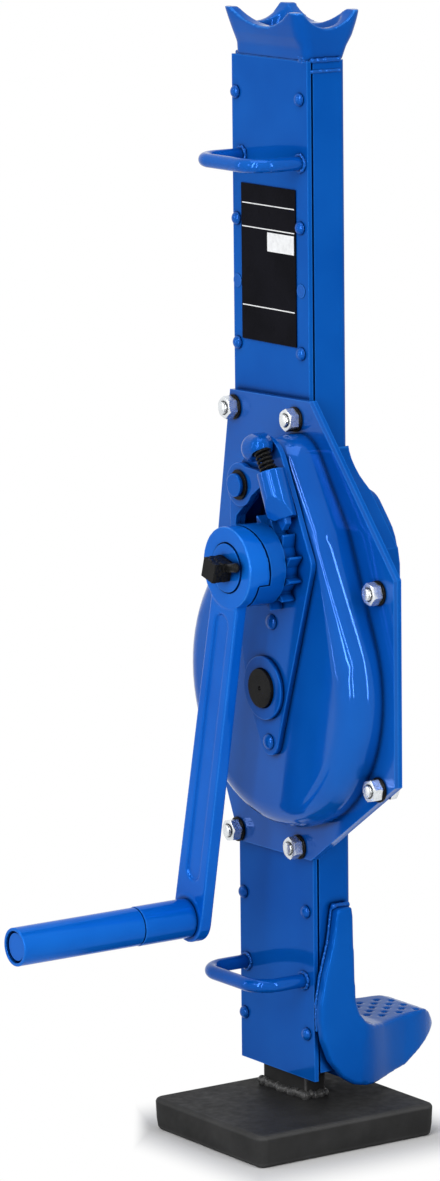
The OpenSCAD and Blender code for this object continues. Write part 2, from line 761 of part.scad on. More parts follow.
// Hub, arm and handle eye in one forging
module crank_arm() color(paint) {
    difference() {
        union() {
            difference() {
                bar_y(crank_axis, hub_r, hub_y, cam_mid_y + cam_rise);
                cam_space(0.8);
            }
            intersection() {
                hull() {
                    bar_y(crank_axis, 14, hub_y + 0.6, arm_back_y, $fn = 32);
                    bar_y(handle_at, 16, hub_y + 0.6, arm_back_y, $fn = 32);
                }
                difference() {
                    translate([-200, -200, 0]) cube([400, 400, 600]);
                    bar_y(crank_axis, hub_r - 2, -100, 0);
                }
            }
            bar_y(handle_at, 15.5, hub_y, arm_back_y);
        }
        bar_y(crank_axis, 12, -100, 0);
        bar_y(crank_axis, 16, -100, hub_y + 5);
        hull() for (s = [0.16, 0.86])
            bar_y(crank_axis + s * (handle_at - crank_axis), 7, hub_y - 1, hub_y + 2.4, $fn = 24);
        bar_y(handle_at, 8, -100, 0);
    }
}

module hub_ring() color(paint) {
    difference() {
        bar_y(crank_axis, 15.5, hub_y - 0.8, hub_y + 5);
        bar_y(crank_axis, 12, hub_y - eps, 0);
        translate([crank_axis.x, 0, crank_axis.y]) rotate([0, 16, 0])
            translate([-square_w / 2, -100, -square_w / 2]) cube([square_w, 200, square_w]);
    }
}

module handle_collar() color(paint) {
    bush(handle_at, 12.8, 8, collar_end_y, hub_y);
}

module handle_pin() color(paint) {
    bar_y(handle_at, 8, handle_end_y + 5, arm_back_y);
    bar_y(handle_at, 9.2, handle_end_y + 1.5, handle_end_y + 5.6);
}

module handle_sleeve() color(paint) {
    difference() {
        bar_y(handle_at, 12.4, handle_end_y, sleeve_y);
        bar_y(handle_at, 8 + fit, -300, 0);
        bar_y(handle_at, 10.2, handle_end_y - 1, handle_end_y + 6);
    }
}

base_plate();
foot_weld();
rack_bar();
column_channel();
front_plate();
guide_upper_left();
guide_upper_right();
guide_lower_left();
guide_lower_right();
guide_rivets();
guide_plugs();
head_crown();
crown_weld();
toe();
toe_weld();
upper_grip();
lower_grip();
label_plate();
gear_case();
gear_cover();
bearing_plate();
bearing_plate_rivets();
rear_bearing_plate();
wheel_bush_front();
wheel_bush_rear();
crank_bush_front();
crank_bush_rear();
cover_bolts();
cover_washers();
cover_nuts();
pawl_pin();
pawl_clip();
spring_seat();
pawl_spring();
pawl();
wheel_shaft();
gear_wheel();
wheel_key();
crank_shaft();
ratchet_wheel();
brake_disc();
crank_arm();
hub_ring();
end_pin();
handle_collar();
handle_pin();
handle_sleeve();
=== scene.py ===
import math
import random

import bmesh
import bpy
import numpy as np
from mathutils import Matrix, Vector, noise


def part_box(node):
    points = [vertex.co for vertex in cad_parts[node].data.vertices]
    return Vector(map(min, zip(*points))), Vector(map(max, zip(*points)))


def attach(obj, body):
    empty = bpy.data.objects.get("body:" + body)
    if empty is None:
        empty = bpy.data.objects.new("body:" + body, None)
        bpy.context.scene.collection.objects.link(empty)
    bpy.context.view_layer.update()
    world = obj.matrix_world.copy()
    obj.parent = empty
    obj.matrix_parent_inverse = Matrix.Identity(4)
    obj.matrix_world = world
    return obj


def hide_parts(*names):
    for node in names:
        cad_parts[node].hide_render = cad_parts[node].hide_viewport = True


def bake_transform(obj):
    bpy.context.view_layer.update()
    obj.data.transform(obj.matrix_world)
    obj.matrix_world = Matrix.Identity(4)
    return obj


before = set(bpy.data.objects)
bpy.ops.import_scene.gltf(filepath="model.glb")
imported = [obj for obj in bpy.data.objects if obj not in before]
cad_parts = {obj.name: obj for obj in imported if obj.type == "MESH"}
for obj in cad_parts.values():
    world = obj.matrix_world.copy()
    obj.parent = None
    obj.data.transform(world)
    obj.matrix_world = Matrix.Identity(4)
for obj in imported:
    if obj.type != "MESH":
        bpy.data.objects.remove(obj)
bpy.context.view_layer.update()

bl_info = {
    "name": "Rack and Pinion Steel Jack",
    "version": (1, 0, 0),
    "blender": (4, 5, 0),
    "location": "View3D > Sidebar > Jack",
    "description": "Dresses the packed jack in its paint, welds and threads, on a studio floor",
    "category": "Object",
}

MM = 0.001
TOUCHING = 0.02 * MM  # points nearer than this are one point
CHAMFER = math.tan(math.radians(30))  # slope of the corners turned off nuts and heads
FACE_SHARE = 0.96  # of the flats that a turned face keeps

# ---------------------------------------------------------------- settings


class JackFinish(bpy.types.PropertyGroup):
    paint: bpy.props.FloatVectorProperty(
        name="Paint", description="Colour of the blue gloss paint", subtype="COLOR",
        size=3, min=0, max=1, default=(0.0, 0.070, 0.360))
    # painted shade: the colour that corners and crevices are darkened towards
    painted_corner_shade: bpy.props.FloatVectorProperty(
        name="Painted Corner Shade", description="Colour of the shade painted into corners and crevices", subtype="COLOR",
        size=3, min=0, max=1, default=(0.0, 0.022, 0.15))
    # pale patches that differ at random, and the painted highlight along sharp edges
    pale_paint_and_edge_highlight: bpy.props.FloatVectorProperty(
        name="Pale Paint And Edge Highlight", description="Colour of pale patches in the paint and of the highlight painted along edges",
        subtype="COLOR", size=3, min=0, max=1, default=(0.01, 0.16, 0.62))
    # painted highlight along the rounded rims of castings
    rim_highlight: bpy.props.FloatVectorProperty(
        name="Rim Highlight", description="Colour of the highlight painted along a casting's rims",
        subtype="COLOR", size=3, min=0, max=1, default=(0.06, 0.30, 0.80))
    black: bpy.props.FloatVectorProperty(
        name="Black Paint", description="Colour of the foot's satin black paint", subtype="COLOR",
        size=3, min=0, max=1, default=(0.024, 0.024, 0.024))
    steel: bpy.props.FloatVectorProperty(
        name="Oiled Steel", description="Colour of the blackened shafts and guides", subtype="COLOR",
        size=3, min=0, max=1, default=(0.004, 0.004, 0.004))
    zinc: bpy.props.FloatVectorProperty(
        name="Zinc", description="Colour of the bright zinc plate on the fixings", subtype="COLOR",
        size=3, min=0, max=1, default=(0.76, 0.79, 0.81))
    label: bpy.props.FloatVectorProperty(
        name="Label Plate", description="Colour of the bare label plate", subtype="COLOR",
        size=3, min=0, max=1, default=(0.004, 0.004, 0.006))
    print: bpy.props.FloatVectorProperty(
        name="Label Lines", description="Colour of the label plate's dividing lines and blank panel",
        subtype="COLOR", size=3, min=0, max=1, default=(0.78, 0.79, 0.80))
    edge_round: bpy.props.FloatProperty(
        name="Edge Round", description="Radius that a broken edge gets", subtype="DISTANCE", unit="LENGTH",
        min=0, default=0.0007)


class JackStage(bpy.types.PropertyGroup):
    look_at: bpy.props.FloatVectorProperty(
        name="Look At", description="Point that the camera looks at, from the foot plate's lower middle",
        subtype="TRANSLATION", size=3, default=(-0.0228, -0.0347, 0.365))
    distance: bpy.props.FloatProperty(
        name="Distance", description="From the camera to the point it looks at",
        unit="LENGTH", default=3.7008)
    around: bpy.props.FloatProperty(
        name="Around", description="Camera's turn round the jack from the gear case's side",
        subtype="ANGLE", default=math.radians(-34.30))
    down: bpy.props.FloatProperty(
        name="Down", description="How far the camera looks down",
        subtype="ANGLE", default=math.radians(10.302))
    roll: bpy.props.FloatProperty(
        name="Roll", description="Camera's own roll", subtype="ANGLE", default=math.radians(0.612))
    lens: bpy.props.FloatProperty(
        name="Lens", description="Focal length in millimetres", default=176.44)
    shift: bpy.props.FloatVectorProperty(
        name="Shift", description="Lens shift across and up", size=2, default=(-0.00356, -0.00828))
    floor: bpy.props.FloatProperty(
        name="Floor", description="Radius of the floor", unit="LENGTH", default=30.0)
    sky: bpy.props.FloatProperty(
        name="Sky", description="Strength of the room's even light", default=0.32)
    key: bpy.props.FloatProperty(
        name="Key", description="Power of the large front lamp in watts", default=3.6)
    strips: bpy.props.FloatProperty(
        name="Strips", description="Power of the narrow strip lamps in watts", default=19.0)
    top: bpy.props.FloatProperty(
        name="Top", description="Power of the overhead lamp in watts", default=16.0)


# ---------------------------------------------------------------- material helpers


class Nodes:
    """A short way to lay out one material's nodes."""

    def __init__(self, name):
        self.material = bpy.data.materials.new(name)
        self.material.use_nodes = True
        self.tree = self.material.node_tree
        self.shader = self.tree.nodes["Principled BSDF"]
        self.out = self.tree.nodes["Material Output"]
        self.place = self.add("ShaderNodeTexCoord").outputs["Object"]

    def add(self, kind, **values):
        made = self.tree.nodes.new(kind)
        for key, value in values.items():
            setattr(made, key, value)
        return made

    def link(self, source, target):
        self.tree.links.new(source, target)

    def noise(self, per_metre, detail=2.0, rough=0.5, stretch=None):
        made = self.add("ShaderNodeTexNoise")
        made.inputs["Scale"].default_value = per_metre
        made.inputs["Detail"].default_value = detail
        made.inputs["Roughness"].default_value = rough
        if stretch:
            mapping = self.add("ShaderNodeMapping")
            mapping.inputs["Scale"].default_value = stretch
            self.link(self.place, mapping.inputs["Vector"])
            self.link(mapping.outputs[0], made.inputs["Vector"])
        else:
            self.link(self.place, made.inputs["Vector"])
        return made.outputs["Fac"]

    def ramp(self, source, low, high, start=0.0, end=1.0):
        made = self.add("ShaderNodeMapRange")
        made.inputs["From Min"].default_value = low
        made.inputs["From Max"].default_value = high
        made.inputs["To Min"].default_value = start
        made.inputs["To Max"].default_value = end
        self.link(source, made.inputs["Value"])
        return made.outputs["Result"]

    def clouds(self, per_metre, detail, low, high, most):
        """0 to most in soft patches; low and high are where the noise starts and ends to show."""
        return self.ramp(self.noise(per_metre, detail), low, high, 0.0, most)

    def roughness(self, per_metre, least, most):
        """A roughness that wanders between two values."""
        return self.ramp(self.noise(per_metre), 0.3, 0.7, least, most)

    def maths(self, what, first, second):
        made = self.add("ShaderNodeMath", operation=what)
        for socket, value in zip(made.inputs, (first, second)):
            if isinstance(value, (int, float)):
                socket.default_value = value
            else:
                self.link(value, socket)
        return made.outputs[0]

    def mix(self, share, first, second):
        made = self.add("ShaderNodeMix", data_type="RGBA")
        self.link(share, made.inputs[0])
        for socket, value in ((made.inputs[6], first), (made.inputs[7], second)):
            if hasattr(value, "links"):
                self.link(value, socket)
            else:
                socket.default_value = (*value, 1.0)
        return made.outputs[2]

    def bump(self, height, distance, strength=1.0, under=None):
        made = self.add("ShaderNodeBump")
        made.inputs["Distance"].default_value = distance
        made.inputs["Strength"].default_value = strength
        self.link(height, made.inputs["Height"])
        if under is not None:
            self.link(under, made.inputs["Normal"])
        return made.outputs["Normal"]

    def edges(self, radius, bend):
        """1 on sharp edges and 0 on flat faces; a smaller bend makes softer edges count."""
        bevel = self.add("ShaderNodeBevel", samples=4)
        bevel.inputs["Radius"].default_value = radius
        flat = self.add("ShaderNodeNewGeometry").outputs["Normal"]
        dot = self.add("ShaderNodeVectorMath", operation="DOT_PRODUCT")
        self.link(bevel.outputs[0], dot.inputs[0])
        self.link(flat, dot.inputs[1])
        return self.ramp(dot.outputs["Value"], 1.0, 1.0 - bend)

    def crests(self, low, high):
        """1 along the rounded-over edges of a casting."""
        return self.ramp(self.add("ShaderNodeNewGeometry").outputs["Pointiness"], low, high)

    def corners(self, distance, shallow, deep):
        """1 deep in an inner corner and 0 in the open."""
        hidden = self.add("ShaderNodeAmbientOcclusion", samples=6)
        hidden.inputs["Distance"].default_value = distance
        return self.ramp(hidden.outputs["AO"], shallow, deep)

    def set(self, **sockets):
        """Sets or links the shader's sockets, named with _ for a space."""
        for key, value in sockets.items():
            socket = self.shader.inputs[key.replace("_", " ")]
            if hasattr(value, "links"):
                self.link(value, socket)
            elif isinstance(value, tuple):
                socket.default_value = (*value, 1.0)
            else:
                socket.default_value = value
        return self.material


def settings():
    return bpy.context.scene.jack_finish


def scaled(colour, by):
    return tuple(min(1.0, c * by) for c in colour)


def seen_rays(tree):
    """1 for the rays that show the room itself."""
    path = tree.nodes.new("ShaderNodeLightPath")
    shown = path.outputs["Is Camera Ray"]
    for ray in ("Is Glossy Ray", "Is Transmission Ray"):
        either = tree.nodes.new("ShaderNodeMath")
        either.operation = "MAXIMUM"
        tree.links.new(shown, either.inputs[0])
        tree.links.new(path.outputs[ray], either.inputs[1])
        shown = either.outputs[0]
    return shown


# ---------------------------------------------------------------- finishes


def blue_paint(n, look, cast=0.0, rim=False, gain=1.0, shine=0.085):
    """Gloss paint sprayed over steel; cast is how far a casting's skin shows through. A painted highlight
    goes on a casting's rims when rim is set and along sharp edges when it is not, painted shade goes into
    corners and crevices, and gain makes a lighter copy that paints more light on a part.
    """
    thin = n.clouds(9.0, 3.0, low=0.35, high=0.65, most=0.3)
    body = n.mix(thin, scaled(look.paint, gain), scaled(look.pale_paint_and_edge_highlight, gain))
    # painted highlight: rims of castings, or else sharp edges, are lightened
    if rim:
        body = n.mix(n.crests(0.52, 0.60), body, look.rim_highlight)
    else:
        edge_highlight = n.ramp(n.edges(1.4 * MM, bend=0.10), 0.1, 0.9, 0.0, 0.85)
        body = n.mix(edge_highlight, body, look.pale_paint_and_edge_highlight)
    # painted shade: wide hollows and then narrow crevices are darkened by occlusion
    shaded = n.maths("MULTIPLY", n.corners(30 * MM, shallow=0.9, deep=0.3), 0.45)
    body = n.mix(shaded, body, look.painted_corner_shade)
    body = n.mix(n.corners(5 * MM, shallow=0.88, deep=0.45), body, scaled(look.painted_corner_shade, 0.4))
    peel = n.bump(n.noise(420.0, 1.0), 0.03 * MM, strength=0.2)
    lumps, depth = n.noise(60.0, 3.0, rough=0.55), 0.9 * MM if cast else 0.2 * MM
    return n.set(
        Base_Color=body, Metallic=0.2, Roughness=n.roughness(130.0, 0.06, 0.10),
        Normal=n.bump(lumps, depth, strength=cast or 0.08, under=peel),
        Specular_IOR_Level=shine, Specular_Tint=(0.8, 0.92, 1.0))


def black_paint(n, look, sheen=0.0):
    """Satin black paint over rough steel; sheen makes it wetter, as it dries over a weld."""
    body = n.mix(n.clouds(40.0, 4.0, low=0.4, high=0.75, most=0.3), look.black, scaled(look.black, 2.6))
    # painted highlight: sharp edges are lightened
    body = n.mix(n.edges(2.2 * MM, bend=0.06), body, scaled(look.black, 5.0))
    grain = n.bump(n.noise(900.0), 0.12 * MM, strength=0.5)
    return n.set(
        Base_Color=body, Roughness=n.roughness(200.0, 0.42 - sheen, 0.56 - sheen),
        Normal=n.bump(n.noise(45.0), 0.4 * MM, strength=0.25, under=grain), Specular_IOR_Level=0.03 + sheen)


def oiled_steel(n, look):
    """Blackened steel with a film of oil and fine turning marks."""
    bright = scaled(look.steel, 6.0)
    body = n.mix(n.clouds(70.0, 4.0, low=0.35, high=0.8, most=0.5), look.steel, bright)
    # painted highlight: sharp edges are lightened
    body = n.mix(n.ramp(n.edges(0.6 * MM, bend=0.5), 0.1, 1.0, 0.0, 0.8), body, bright)
    marks = n.noise(260.0, stretch=(1.0, 14.0, 1.0))
    return n.set(
        Base_Color=body, Roughness=n.roughness(160.0, 0.14, 0.26),
        Normal=n.bump(marks, 0.1 * MM, strength=0.4), Specular_IOR_Level=0.07)


def zinc_plate(n, look):
    """Bright zinc with faint cloudiness, and painted shade in its corners and gaps."""
    body = n.mix(n.clouds(220.0, 4.0, low=0.4, high=0.7, most=0.4), look.zinc, scaled(look.zinc, 0.62))
    # painted shade: corners and gaps are darkened nearly to black
    body = n.mix(n.corners(2.8 * MM, shallow=0.85, deep=0.55), body, scaled(look.zinc, 0.03))
    return n.set(
        Base_Color=body, Metallic=0.85, Roughness=n.roughness(300.0, 0.2, 0.34),
        Normal=n.bump(n.noise(700.0), 0.08 * MM, strength=0.35))


def label_film(n, look):
    """Glossy dark film of the bare label plate."""
    body = n.mix(n.clouds(25.0, 3.0, low=0.4, high=0.7, most=0.5), look.label, scaled(look.label, 2.4))
    return n.set(
        Base_Color=body, Roughness=n.roughness(90.0, 0.24, 0.34),
        Normal=n.bump(n.noise(240.0), 0.04 * MM, strength=0.3), Specular_IOR_Level=0.015)


def label_print(n, look):
    """Pale print of the label's lines."""
    body = n.mix(n.clouds(300.0, 3.0, low=0.45, high=0.7, most=0.6), look.print, scaled(look.print, 0.82))
    return n.set(
        Base_Color=body, Roughness=n.roughness(200.0, 0.4, 0.5),
        Normal=n.bump(n.noise(500.0), 0.03 * MM, strength=0.3), Specular_IOR_Level=0.1)


FINISHES = {
    "blue_gloss_paint": (blue_paint, {}),
    "blue_paint_on_plates": (blue_paint, {"shine": 0.04}),
    "blue_paint_on_cover": (blue_paint, {"shine": 0.2}),
    "blue_paint_on_fittings": (blue_paint, {"shine": 0.14}),
    "blue_paint_on_weld": (blue_paint, {"cast": 0.4, "shine": 0.14}),
    "blue_paint_on_casting": (blue_paint, {"cast": 0.4, "rim": True}),
    "blue_paint_on_toe": (blue_paint, {"cast": 0.25, "shine": 0.03}),
    # gain makes these copies lighter: painted light on the crank, its hub and its handle
    "blue_paint_on_crank": (blue_paint, {"gain": 1.3}),
    "blue_paint_on_arm": (blue_paint, {"cast": 0.3, "rim": True, "gain": 1.35}),
    "black_satin_paint": (black_paint, {}),
    "black_paint_on_weld": (black_paint, {"sheen": 0.22}),
    "oiled_steel": (oiled_steel, {}),
    "bright_zinc": (zinc_plate, {}),
    "label_gloss_film": (label_film, {}),
    "label_print": (label_print, {}),
}


def finish(name):
    """A finish's material, made when it is first asked for."""
    build, values = FINISHES[name]
    return bpy.data.materials.get(name) or build(Nodes(name), settings(), **values)


# ---------------------------------------------------------------- mesh helpers


def bare(mesh, smooth=True):
    """Drops a mesh's own normals and sets how its faces shade."""
    lost = mesh.attributes.get("custom_normal")
    if lost:
        mesh.attributes.remove(lost)
    for face in mesh.polygons:
        face.use_smooth = smooth
    return mesh


def dress(material, *names, round_by=None, segments=2):
    """Gives CAD nodes their material and breaks their edges."""
    width = settings().edge_round if round_by is None else round_by
    for name in names:
        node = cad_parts[name]
        bare(node.data).materials.clear()
        node.data.materials.append(material)
        weld = node.modifiers.new("Join", "WELD")
        weld.merge_threshold = TOUCHING
        flat = node.modifiers.new("Flats", "DECIMATE")
        flat.decimate_type = "DISSOLVE"
        flat.angle_limit = math.radians(0.6)
        bevel = node.modifiers.new("Broken edges", "BEVEL")
        bevel.width = width
        bevel.segments = segments
        bevel.limit_method = "ANGLE"
        bevel.angle_limit = math.radians(28)
        bevel.use_clamp_overlap = True
        bevel.miter_outer = "MITER_ARC"
        shade = node.modifiers.new("Shading", "WEIGHTED_NORMAL")
        shade.keep_sharp = True
        shade.weight = 80


def crisp(piece):
    """Stops a piece's smooth shading at its real edges."""
    form = bmesh.new()
    form.from_mesh(piece.data)
    for edge in form.edges:
        if len(edge.link_faces) == 2 and edge.calc_face_angle(0.0) > math.radians(32):
            edge.smooth = False
    form.to_mesh(piece.data)
    form.free()


def middle_of(node):
    low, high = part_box(node)
    return (low + high) / 2


def lumps_of(node):
    """Boxes of the separate solids of a node, each as its lowest and highest corner."""
    form = bmesh.new()
    form.from_mesh(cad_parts[node].data)
    bmesh.ops.remove_doubles(form, verts=form.verts, dist=TOUCHING)
    left, boxes = set(form.verts), []
    while left:
        waiting, found = [left.pop()], []
        while waiting:
            vert = waiting.pop()
            found.append(vert.co.copy())
            for edge in vert.link_edges:
                other = edge.other_vert(vert)
                if other in left:
                    left.discard(other)
                    waiting.append(other)
        boxes.append((Vector(min(c[i] for c in found) for i in range(3)),
                      Vector(max(c[i] for c in found) for i in range(3))))
    form.free()
    return sorted(boxes, key=lambda box: (round(box[0].x, 4), round(box[0].z, 4)))


def mesh_from(name, form):
    mesh = bpy.data.meshes.new(name)
    form.to_mesh(mesh)
    form.free()
    return mesh


def put(name, form, material, body, slot, *stands_for, smooth=True):
    """Makes a piece from a bmesh and fixes it to its body."""
    bmesh.ops.recalc_face_normals(form, faces=form.faces)
    return put_mesh(name, mesh_from(name, form), material, body, slot, *stands_for, smooth=smooth)


def put_mesh(name, mesh, material, body, slot, *stands_for, smooth=True):
    piece = bpy.data.objects.new(name, bare(mesh, smooth))
    bpy.context.scene.collection.objects.link(piece)
    mesh.materials.clear()
    mesh.materials.append(material)
    if body:
        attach(piece, body)
    if stands_for:
        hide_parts(*stands_for)
    return piece


def remeshed(mesh, voxel):
    """One closed skin round everything in a mesh."""
    shape = bpy.data.objects.new("rough", mesh)
    bpy.context.scene.collection.objects.link(shape)
    skin = shape.modifiers.new("Skin", "REMESH")
    skin.mode, skin.voxel_size = "VOXEL", voxel
    bpy.context.view_layer.update()
    shape_now = shape.evaluated_get(bpy.context.evaluated_depsgraph_get())
    made = bpy.data.meshes.new_from_object(shape_now)
    bpy.data.objects.remove(shape)
    return made


def points_of(mesh):
    place = np.zeros(len(mesh.vertices) * 3)
    mesh.vertices.foreach_get("co", place)
    return place.reshape(-1, 3)


def move_points(mesh, place):
    mesh.vertices.foreach_set("co", place.ravel())
    mesh.update()


def rise(value, start, end):
    """0 before start and 1 past end, and the straight way between them."""
    return np.clip((value - start) / (end - start), 0, 1)


def relax(mesh, rounds, hold=None):
    """Rounds a skin's edges; hold gives 0 to 1 for how much a point may move."""
    place, pull = points_of(mesh), 0.6
    count = len(place)
    ends = np.zeros(len(mesh.edges) * 2, dtype=np.int64)
    mesh.edges.foreach_get("vertices", ends)
    first, second = ends.reshape(-1, 2).T
    degree = np.bincount(ends, minlength=count).clip(1)[:, None]
    share = np.ones((count, 1)) if hold is None else hold(place)[:, None]
    for _ in range(rounds):
        total = np.stack([
            np.bincount(first, place[second, i], count) + np.bincount(second, place[first, i], count)
            for i in range(3)], axis=1)
        place += pull * share * (total / degree - place)
    move_points(mesh, place)
    return mesh


def thinned(piece, faces):
    """Fewer faces where the skin is flat."""
    now = len(piece.data.polygons)
    if now > faces:
        fewer = piece.modifiers.new("Fewer faces", "DECIMATE")
        fewer.ratio = faces / now
    return piece


def casting(node, body, material, voxel, rounds, faces, hold=None):
    """A node with its edges rounded over as a painted casting's are."""
    skin = relax(remeshed(bare(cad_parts[node].data.copy()), voxel), rounds, hold)
    return thinned(put_mesh(node + "_cast", skin, material, body, "blue_paint", node), faces)


def coin(form, at, along, radius, flat):
    """One ripple of a weld: a ball pressed flat along the bead."""
    turn = Vector(along).to_track_quat("Z", "Y").to_matrix().to_4x4()
    pressed = Matrix.Translation(at) @ turn @ Matrix.Diagonal((1.0, 1.0, flat, 1.0))
    bmesh.ops.create_icosphere(form, subdivisions=2, radius=radius, matrix=pressed)


def bead(form, points, radius, chance, pitch, rough, flat=0.75):
    """A weld bead along points, laid ripple by ripple; pitch, rough and flat are shares of the radius."""
    for start, end in zip(points, points[1:]):
        start, end = Vector(start), Vector(end)
        way = end - start
        steps = max(1, round(way.length / (radius * pitch)))
        for step in range(steps + 1):
            size = radius * (1 + chance.uniform(-rough, rough))
            stray = Vector(chance.uniform(-1, 1) for _ in range(3)) * radius * rough * 0.6
            coin(form, start + way * step / steps + stray, way, size, flat)


def weld(name, form, material, body, slot, *stands_for, voxel, faces=9000):
    """Runs laid ripples together into one skin."""
    skin = relax(remeshed(mesh_from(name, form), voxel), 1)
    return thinned(put_mesh(name, skin, material, body, slot, *stands_for), faces)


def rings(form, rows, closed=False):
    """Joins rows of points, each row a closed ring, and caps the two ends unless closed."""
    rows = [[form.verts.new(p) for p in row] for row in rows]
    pairs = list(zip(rows, rows[1:])) + ([(rows[-1], rows[0])] if closed else [])
    for low, high in pairs:
        for i in range(len(low)):
            j = (i + 1) % len(low)
            form.faces.new((low[i], low[j], high[j], high[i]))
    if not closed:
        form.faces.new(list(reversed(rows[0])))
        form.faces.new(rows[-1])


def round_y(at, y, radius, sides=72):
    """A ring of points about a Y axis through at; y and radius may be functions of the angle."""
    points = []
    for i in range(sides):
        a = math.tau * i / sides
        out = radius(a) if callable(radius) else radius
        level = y(a) if callable(y) else y
        points.append(Vector((at.x + out * math.cos(a), level, at.z + out * math.sin(a))))
    return points


def tube(form, points, radius, sides):
    """A round bar along a line of points."""
    rows, across = [], None
    for i, point in enumerate(points):
        ahead = (Vector(points[min(i + 1, len(points) - 1)]) - Vector(points[max(i - 1, 0)])).normalized()
        if across is None:
            across = ahead.orthogonal().normalized()
        across = (across - ahead * across.dot(ahead)).normalized()
        other = ahead.cross(across)
        rows.append([Vector(point) + radius * (math.cos(t) * across + math.sin(t) * other)
                     for t in (math.tau * k / sides for k in range(sides))])
    rings(form, rows)


def slab(form, low, high):
    """A plain block between two corners; returns its points."""
    made = bmesh.ops.create_cube(form, size=1.0)["verts"]
    for vert in made:
        vert.co = Vector((low[i] + (vert.co[i] + 0.5) * (high[i] - low[i])) for i in range(3))
    return made


# ---------------------------------------------------------------- fixings


def hexagon(low, high, turn):
    """A hexagon's reach at each angle and its turned face's radius, from its box's corners."""
    half = min(high.x - low.x, high.z - low.z) / 2

    def reach(a):
        off = (a - turn + math.pi / 6) % (math.pi / 3) - math.pi / 6
        return half / math.cos(off)
    return reach, half * FACE_SHARE


def nut(form, low, high, turn):
    """A bored nut with its outer face at low.y and its corners turned off."""
    at, bore, lead = (low + high) / 2, 3.45 * MM, 1.1 * MM
    reach, face = hexagon(low, high, turn)
    rings(form, [
        round_y(at, high.y, bore),
        round_y(at, low.y + lead, bore),
        round_y(at, low.y, bore + lead),
        round_y(at, low.y, face),
        round_y(at, lambda a: low.y + (reach(a) - face) * CHAMFER, reach),
        round_y(at, lambda a: high.y - (reach(a) - face) * CHAMFER, reach),
        round_y(at, high.y, face),
    ], closed=True)


def washer(form, low, high):
    """A flat washer with its outer edge broken."""
    at, bore, rim, broken = (low + high) / 2, 4.1 * MM, (high.x - low.x) / 2, 0.3 * MM
    rings(form, [
        round_y(at, high.y, bore),
        round_y(at, low.y, bore),
        round_y(at, low.y, rim - broken),
        round_y(at, low.y + broken, rim),
        round_y(at, high.y, rim),
    ], closed=True)


def threaded(form, at, radius, low, high, sides):
    """A threaded shank that ends at y low with a chamfer."""
    pitch, depth, lead, tip = 1.25 * MM, 0.6 * MM, 0.4 * MM, 0.2 * MM
    rows = [round_y(at, low, radius - 2 * depth, sides)]
    steps = int((high - low) / (pitch / 8))
    for step in range(steps + 1):
        y = low + lead + (high - low - lead) * step / steps

        def reach(a, y=y):
            wave = abs(((y / pitch - a / math.tau) % 1.0) * 2 - 1)
            groove = depth * min(1.0, max(0.0, 1.25 * wave - 0.12))
            return min(radius - depth + tip + (y - low), radius - groove)
        rows.append(round_y(at, y, reach, sides))
    rings(form, rows)


def bolt(form, low, high):
    """A hexagon bolt with its threaded end at low.y and its head's face at high.y."""
    at, thread, shank, sides = (low + high) / 2, 3.98 * MM, 3.9 * MM, 48
    head, shown = high.y - 5.3 * MM, low.y + 4.5 * MM
    threaded(form, at, thread, low.y, shown, sides)
    rings(form, [round_y(at, shown - 0.1 * MM, shank, sides), round_y(at, head + 0.5 * MM, shank, sides)])
    reach, face = hexagon(low, high, math.pi / 6 if high.x - low.x > high.z - low.z else 0.0)
    rings(form, [
        round_y(at, head, reach),
        round_y(at, lambda a: high.y - (reach(a) - face) * CHAMFER, reach),
        round_y(at, high.y, face),
    ])


def rivets(name, node, face, shank):
    """Smooth domed heads on straight shanks, in place of a node's rivets."""
    form, sides, rounds = bmesh.new(), 32, 9
    for low, high in lumps_of(node):
        at, reach, dome = (low + high) / 2, (high.x - low.x) / 2, face - low.y
        rows = [round_y(at, high.y, shank, sides), round_y(at, face, shank, sides)]
        for k in range(rounds):
            t = math.pi / 2 * k / rounds
            rows.append(round_y(at, face - dome * math.sin(t), reach * math.cos(t), sides))
        rings(form, rows)
    return put(name, form, finish("blue_paint_on_fittings"), "housing", "blue_paint", node)


# ---------------------------------------------------------------- operators


